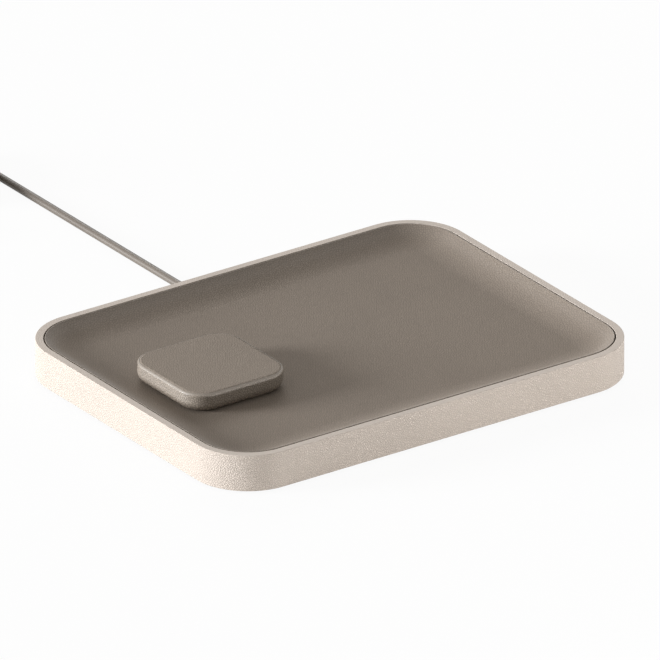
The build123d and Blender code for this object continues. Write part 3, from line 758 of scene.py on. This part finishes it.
class TRAY_OT_sleeve(bpy.types.Operator):
    """Makes the soft ribbed sleeve that the lead leaves through"""

    bl_idname = "tray.sleeve"
    bl_label = "Lead sleeve"

    def execute(self, context):
        size = context.scene.tray_fittings
        sleeve = in_scene("lead_sleeve", as_mesh("lead_sleeve", self.taper(size)))
        combine(sleeve, self.flange(size), "UNION")
        combine(sleeve, self.foot(size), "UNION")
        soft = moulded("sleeve_rubber", context.scene.tray_colours.lead, depth=0.006 * MM)
        finish_piece(sleeve, soft, "cord_jacket", "strain_relief")
        return {"FINISHED"}

    def taper(self, size):
        """The round part from the flange to the tip, with grooves near the tip."""
        x, z = exit_x, lead_level()
        out, tip = rim_high.y, sleeve_high.y
        points = [(0, sleeve_low.y), (size.sleeve_radius, sleeve_low.y), (size.sleeve_radius, out)]
        for k in (3, 2, 1):
            y = tip - k * size.ring_pitch
            share = (y - out) / (tip - out)
            radius = size.sleeve_radius + (size.sleeve_tip - size.sleeve_radius) * share
            half = size.ring_width / 2
            deep = radius - size.ring_deep
            points += [(radius, y - half), (deep, y - half), (deep, y + half), (radius, y + half)]
        points += [(size.sleeve_tip, tip), (0, tip)]
        bm = bmesh.new()
        verts = [bm.verts.new((x + radius, y, z)) for radius, y in points]
        edges = [bm.edges.new(pair) for pair in zip(verts, verts[1:])]
        drawn = verts + edges
        bmesh.ops.spin(
            bm, geom=drawn, cent=(x, 0, z), axis=(0, 1, 0), angle=2 * pi, steps=48, use_merge=True
        )
        bmesh.ops.remove_doubles(bm, verts=bm.verts, dist=MERGE)
        sharp = [e for e in bm.edges if e.is_manifold and e.calc_face_angle() > radians(50)]
        round_edges(bm, sharp, width=0.1 * MM, segments=3)
        return bm

    def flange(self, size):
        """The block that keeps the sleeve from being pulled out."""
        low = Vector((sleeve_low.x, sleeve_low.y, lead_level() - lead_radius()))
        high = Vector((sleeve_high.x, sleeve_low.y + size.sleeve_flange, sleeve_high.z))
        return block(low, high)

    def foot(self, size):
        """The block below the lead that fills the notch in the rim."""
        low = Vector((exit_x - size.sleeve_radius, rim_high.y - rim_wall(), sleeve_low.z))
        high = Vector((exit_x + size.sleeve_radius, rim_high.y, lead_level()))
        return block(low, high)


def block(low, high):
    """A block between two corners."""
    bm = bmesh.new()
    place = Matrix.Translation((low + high) / 2) @ Matrix.Diagonal((*(high - low), 1))
    bmesh.ops.create_cube(bm, size=1, matrix=place)
    return bm


class TRAY_OT_lead(bpy.types.Operator):
    """Lays the lead from its sleeve to the put-away coil and the plug"""

    bl_idname = "tray.lead"
    bl_label = "Lead"

    def execute(self, context):
        lead = context.scene.tray_lead
        points = self.route(lead)
        data = bpy.data.curves.new("lead", "CURVE")
        data.dimensions = "3D"
        spline = data.splines.new("NURBS")
        spline.points.add(len(points) - 1)
        for point, place in zip(spline.points, points):
            point.co = (*place, 1)
        spline.order_u = 3
        spline.use_endpoint_u = True
        spline.resolution_u = 6
        data.bevel_depth = lead_radius()
        data.bevel_resolution = 6
        data.use_fill_caps = True
        base = context.scene.tray_colours.lead
        jacket = moulded("lead_jacket", base, roughness=0.46, texture=0.6 * MM, depth=0.004 * MM)
        data.materials.append(jacket)
        item = in_scene("lead", data)
        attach(item, "root")
        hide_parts("cord", "cord_coil", "cord_tail")
        return {"FINISHED"}

    def route(self, lead):
        """The line's points: out of the sleeve, down, back, round the coil and into the plug."""
        radius = lead_radius()
        exit_z = lead_level()
        tip_y = sleeve_high.y
        drop_y = tip_y + lead.level_run + lead.drop_run
        coil_x = exit_x - lead.turn_radius
        coil_y = lead_high.y + lead.diameter
        step = 2 * pi / lead.steps
        reach = 1 / cos(step / 2)
        beside = lead.turn_radius * tan(step / 2)
        points = [
            (exit_x, tip_y, exit_z),
            (exit_x, tip_y + lead.level_run, exit_z),
            (exit_x, drop_y, radius),
            (exit_x, drop_y + hypot(lead.drop_run, exit_z - radius), radius),
            (exit_x, coil_y - beside, radius),
        ]
        for k in range(round(lead.turns * lead.steps)):
            turn = (k + 0.5) / lead.steps
            inward = min(turn, lead.turns - turn)
            out = (lead.turn_radius - lead.turn_pitch * inward) * reach
            climb = min(max((turn - lead.turns / 2) / CLIMB_TURNS + 0.5, 0), 1)
            rise = lead.coil_rise * min(turn / RISE_TURNS, 1) + lead.layer_pitch * climb
            angle = turn * 2 * pi
            x = coil_x + out * cos(angle)
            y = coil_y + out * sin(angle)
            points.append((x, y, radius + rise))
        tail_x = coil_x - lead.turn_radius
        high_z = radius + lead.coil_rise + lead.layer_pitch
        plug_z = (grip_low.z + grip_high.z) / 2
        level_y = coil_y - lead.diameter - lead.tail_level_run
        plug_y = level_y - lead.tail_drop_run
        points += [
            (tail_x, coil_y - beside, high_z),
            (tail_x, level_y, high_z),
            (tail_x, plug_y, plug_z),
            (tail_x, plug_y - lead.tail_level_run, plug_z),
        ]
        return [Vector(point) for point in points]


class TRAY_OT_rim(bpy.types.Operator):
    """Wraps the rim in leather"""

    bl_idname = "tray.rim"
    bl_label = "Rim leather"

    def execute(self, context):
        size = context.scene.tray_rim
        low, top = rim_low.z, rim_high.z
        inner = rim_wall()
        section = Section(tray_outline())
        section.go(size.turn_under, low)
        section.go(size.bottom_round, low)
        section.turn(size.bottom_round, low + size.bottom_round, pi / 2, steps=5)
        section.go(0, top - size.top_round)
        section.turn(size.top_round, top - size.top_round, pi / 2, steps=7)
        section.go(size.width - size.inner_round, top)
        section.turn(size.width - size.inner_round, top - size.inner_round, pi / 2, steps=5)
        section.go(size.width, top - size.tuck_depth)
        section.go(inner, top - size.tuck_depth)
        section.go(inner, top - size.skin)
        section.go(size.skin, top - size.skin)
        section.go(size.skin, low + size.tuck_skin)
        section.go(size.turn_under, low + size.tuck_skin)
        section.close()
        rim = in_scene("rim_wrap", as_mesh("rim_wrap", section.carry_round(TRAY_CORNER_STEPS)))
        combine(rim, self.notch(context), "DIFFERENCE")
        base = context.scene.tray_colours.rim
        pressed = (top - 0.05 * MM, 1.036)
        skin = leather("rim_leather", base, RIM_GRAIN, layout="UV", pressed=pressed)
        finish_piece(rim, skin, "rim_leather", "rim_leather")
        return {"FINISHED"}

    def notch(self, context):
        """The arch that the lead's sleeve fills, open below."""
        size = context.scene.tray_rim
        x, z = exit_x, lead_level()
        radius = context.scene.tray_fittings.sleeve_radius + size.notch_gap
        beyond = 1 * MM
        start, low = rim_high.y + beyond, rim_low.z - beyond
        bm = bmesh.new()
        right = bm.verts.new((x + radius, start, z))
        arched = bmesh.ops.spin(
            bm, geom=[right], cent=(x, start, z), axis=(0, -1, 0), angle=pi, steps=32
        )
        left = last_vert(arched["geom_last"])
        foot = [bm.verts.new((x - radius, start, low)), bm.verts.new((x + radius, start, low))]
        for pair in zip([left, *foot], [*foot, right]):
            bm.edges.new(pair)
        bmesh.ops.contextual_create(bm, geom=bm.edges)
        pushed = bmesh.ops.extrude_face_region(bm, geom=bm.faces)
        moved = [part for part in pushed["geom"] if isinstance(part, bmesh.types.BMVert)]
        bmesh.ops.translate(bm, vec=(0, -rim_wall() - 2 * beyond, 0), verts=moved)
        return bm


class TRAY_OT_lining(bpy.types.Operator):
    """Lines the dish with leather"""

    bl_idname = "tray.lining"
    bl_label = "Dish lining"

    def execute(self, context):
        size = context.scene.tray_dish
        floor = pad_low.z
        lip = rim_high.z - size.lip_drop
        edge = context.scene.tray_rim.width + size.groove
        run = size.cove_foot - edge
        rise = lip - floor
        radius = (run**2 + rise**2) / (2 * rise)
        centre = floor + radius
        slope = atan2(run, centre - lip)
        inner = edge + size.turn_skin
        inner_run = size.cove_foot - inner
        inner_rise = sqrt((radius + size.lining) ** 2 - inner_run**2)
        section = Section(tray_outline())
        section.go(size.cove_foot, floor)
        section.turn(size.cove_foot, centre, slope, COVE_STEPS)
        section.go(edge, lip - size.turn_down)
        section.go(inner, lip - size.turn_down)
        section.go(inner, centre - inner_rise)
        section.turn(size.cove_foot, centre, -atan2(inner_run, inner_rise), COVE_STEPS)
        bm = section.carry_round(TRAY_CORNER_STEPS)
        high = [e for e in bm.edges if all(v.co.z > lip - MERGE for v in e.verts)]
        width = size.lip_round / tan((pi / 2 - slope) / 2)
        round_edges(bm, high, width, segments=5)
        fill_openings(bm)
        lining = in_scene("dish_lining", as_mesh("dish_lining", bm))
        base = context.scene.tray_colours.dish
        rubbed = (floor + 1 * MM, lip - 1 * MM, 1.0, 0.5)
        skin = leather("dish_leather", base, DISH_GRAIN, layout="Object", rubbed=rubbed)
        finish_piece(lining, skin, "dish_leather", "liner_leather")
        return {"FINISHED"}


class TRAY_OT_pad(bpy.types.Operator):
    """Covers the charging pad in leather"""

    bl_idname = "tray.pad"
    bl_label = "Pad leather"

    def execute(self, context):
        size = context.scene.tray_pad
        self.band(context, size)
        self.sheet(context, size)
        return {"FINISHED"}

    def band(self, context, size):
        """The band round the pad's side, from the bead to the turn under its foot."""
        low, top = pad_low.z, pad_high.z - size.bead_drop
        round_level = low + size.rounding
        outer, inner = size.bead_round, size.bead_inner_round
        roll = acos((outer + inner - size.skin) / (outer - inner))
        lift = (outer - inner) * sin(roll)
        bead_level = top - inner - lift
        section = Section(pad_outline())
        section.go(size.foot_inset, low)
        section.go(size.rounding, low)
        section.turn(size.rounding, round_level, pi / 2, steps=14)
        section.go(0, bead_level)
        section.turn(outer, bead_level, roll, steps=9)
        section.turn(size.skin - inner, bead_level + lift, pi - roll, steps=6)
        section.go(size.skin, round_level)
        section.turn(size.rounding, round_level, -pi / 2, steps=10)
        section.go(size.foot_inset, low + size.skin)
        section.close()
        band = in_scene("pad_band", as_mesh("pad_band", section.carry_round(PAD_CORNER_STEPS)))
        base = context.scene.tray_colours.pad_side
        # Above this level the grain is pressed flat (real) and the bead's colour drops to 0.8 of the
        # band's, which is painted shade on the bead
        pressed = (top - 0.4 * MM, 0.8)
        skin = leather("pad_leather", base, BAND_GRAIN, layout="UV", pressed=pressed)
        finish_piece(band, skin, "dish_leather", "pad_side_leather")

    def sheet(self, context, size):
        """The sheet let into the pad's top."""
        edge = size.skin + size.groove
        top = sheet_high.z
        section = Section(pad_outline())
        bend = acos(1 - size.sheet_drop / size.sheet_round)
        section.go(edge, sheet_low.z)
        section.go(edge, top - size.sheet_drop)
        section.turn(edge + size.sheet_round * sin(bend), top - size.sheet_round, bend, steps=6)
        bm = section.carry_round(PAD_CORNER_STEPS)
        fill_openings(bm)
        sheet = in_scene("pad_sheet", as_mesh("pad_sheet", bm))
        base = context.scene.tray_colours.pad
        skin = leather("pad_sheet_leather", base, SHEET_GRAIN, layout="Object")
        finish_piece(sheet, skin, "dish_leather", "pad_top_leather")


class TRAY_OT_feet(bpy.types.Operator):
    """Makes the four soft feet"""

    bl_idname = "tray.feet"
    bl_label = "Feet"

    def execute(self, context):
        size = context.scene.tray_fittings
        across = foot_high.x - size.foot_radius
        along = foot_high.y - size.foot_radius
        bm = bmesh.new()
        for x, y in [(-across, -along), (across, -along), (across, along), (-across, along)]:
            self.foot(bm, x, y, size)
        feet = in_scene("soft_feet", as_mesh("soft_feet", bm))
        rubber = moulded("foot_rubber", context.scene.tray_colours.foot, roughness=0.75, gloss=0.25)
        finish_piece(feet, rubber, "foot_rubber", "feet")
        return {"FINISHED"}

    def foot(self, bm, x, y, size):
        """One foot: a disc with a rounded lower edge and a shallow hollow below."""
        height = foot_high.z - foot_low.z
        made = bmesh.ops.create_cone(
            bm,
            cap_ends=True,
            segments=72,
            radius1=size.foot_radius,
            radius2=size.foot_radius,
            depth=height,
            matrix=Matrix.Translation((x, y, height / 2)),
        )
        faces = {face for vert in made["verts"] for face in vert.link_faces}
        sole = min(faces, key=lambda face: face.calc_center_median().z)
        edge = sole.edges[:]
        bmesh.ops.inset_region(bm, faces=[sole], thickness=size.foot_border, depth=0)
        wall_run = 0.2 * MM
        bmesh.ops.inset_region(bm, faces=[sole], thickness=wall_run, depth=-size.foot_hollow)
        round_edges(bm, edge, width=size.foot_round, segments=4)


class TRAY_OT_fittings(bpy.types.Operator):
    """Gives the plastic, metal and rubber parts their finishes"""

    bl_idname = "tray.fittings"
    bl_label = "Plastic and metal"

    def execute(self, context):
        colours = context.scene.tray_colours
        inside = moulded("inner_plastic", colours.inside, texture=0.6 * MM)
        base = moulded("base_plastic", colours.base, roughness=0.6, texture=0.7 * MM, depth=0.02 * MM)
        jacket = moulded("plug_rubber", colours.lead, depth=0.006 * MM)
        black = moulded("black_plastic", [linear(30)] * 3, roughness=0.45)
        ferrite = moulded("ferrite", [linear(58)] * 3, roughness=0.7, gloss=0.3)
        board = moulded("board", colours.board, roughness=0.35, texture=0.9 * MM, gloss=0.5)
        screws = plated("screw_steel", colours.steel, roughness=0.3)
        nickel = plated("plug_metal", colours.steel, roughness=0.22, drawn=(1.0, 0.1, 1.0))
        weight = plated("ballast_steel", colours.steel, roughness=0.42, drawn=(0.2, 1.0, 1.0))
        magnets = plated("magnet_metal", colours.steel, roughness=0.25)
        copper = plated("winding_copper", colours.copper, roughness=0.32)
        self.give(inside, "rim_frame", "tray_pan", "pad_shell", "pad_cover", "coil_carrier")
        self.give(inside, "lead_clamp")
        self.give(base, "base_plate")
        self.give(jacket, "plug_grip", "power_lead")
        self.give(black, "board_chips", "lead_socket", "plug_insert")
        self.give(ferrite, "shield_disc")
        self.give(board, "control_board")
        self.give(screws, "base_screws", "pad_screws", "board_screws", "clamp_screws")
        self.give(screws, "ballast_screws")
        self.give(nickel, "plug_shell")
        self.give(weight, "ballast_plate")
        self.give(magnets, "magnet_ring")
        self.give(copper, "charging_coil", "coil_leads")
        return {"FINISHED"}

    def give(self, material, *names):
        for name in names:
            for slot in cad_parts[name].material_slots:
                slot.material = material


class TRAY_PT_panel(bpy.types.Panel):
    """Lists the tray's pieces with their sizes and colours"""

    bl_idname = "TRAY_PT_panel"
    bl_label = "Desk Tray"
    bl_space_type = "VIEW_3D"
    bl_region_type = "UI"
    bl_category = "Tray"

    def draw(self, context):
        layout = self.layout
        for operator in OPERATORS:
            layout.operator(operator.bl_idname)
        for name, group in GROUPS.items():
            box = layout.box()
            box.label(text=group.__doc__)
            for key in group.__annotations__:
                box.prop(getattr(context.scene, name), key)


GROUPS = {
    "tray_rim": TrayRimSizes,
    "tray_dish": TrayDishSizes,
    "tray_pad": TrayPadSizes,
    "tray_fittings": TrayFittingSizes,
    "tray_lead": TrayLeadSizes,
    "tray_colours": TrayColours,
}

OPERATORS = [
    TRAY_OT_stage,
    TRAY_OT_strap,
    TRAY_OT_sleeve,
    TRAY_OT_lead,
    TRAY_OT_rim,
    TRAY_OT_lining,
    TRAY_OT_pad,
    TRAY_OT_feet,
    TRAY_OT_fittings,
]


def register():
    for name, group in GROUPS.items():
        bpy.utils.register_class(group)
        setattr(bpy.types.Scene, name, PointerProperty(type=group))
    for operator in OPERATORS:
        bpy.utils.register_class(operator)
    bpy.utils.register_class(TRAY_PT_panel)


def unregister():
    bpy.utils.unregister_class(TRAY_PT_panel)
    for operator in reversed(OPERATORS):
        bpy.utils.unregister_class(operator)
    for name, group in GROUPS.items():
        delattr(bpy.types.Scene, name)
        bpy.utils.unregister_class(group)


def main():
    register()
    bpy.ops.tray.stage()
    bpy.ops.tray.strap()
    bpy.ops.tray.sleeve()
    bpy.ops.tray.lead()
    bpy.ops.tray.rim()
    bpy.ops.tray.lining()
    bpy.ops.tray.pad()
    bpy.ops.tray.feet()
    bpy.ops.tray.fittings()


if __name__ == "__main__":
    main()
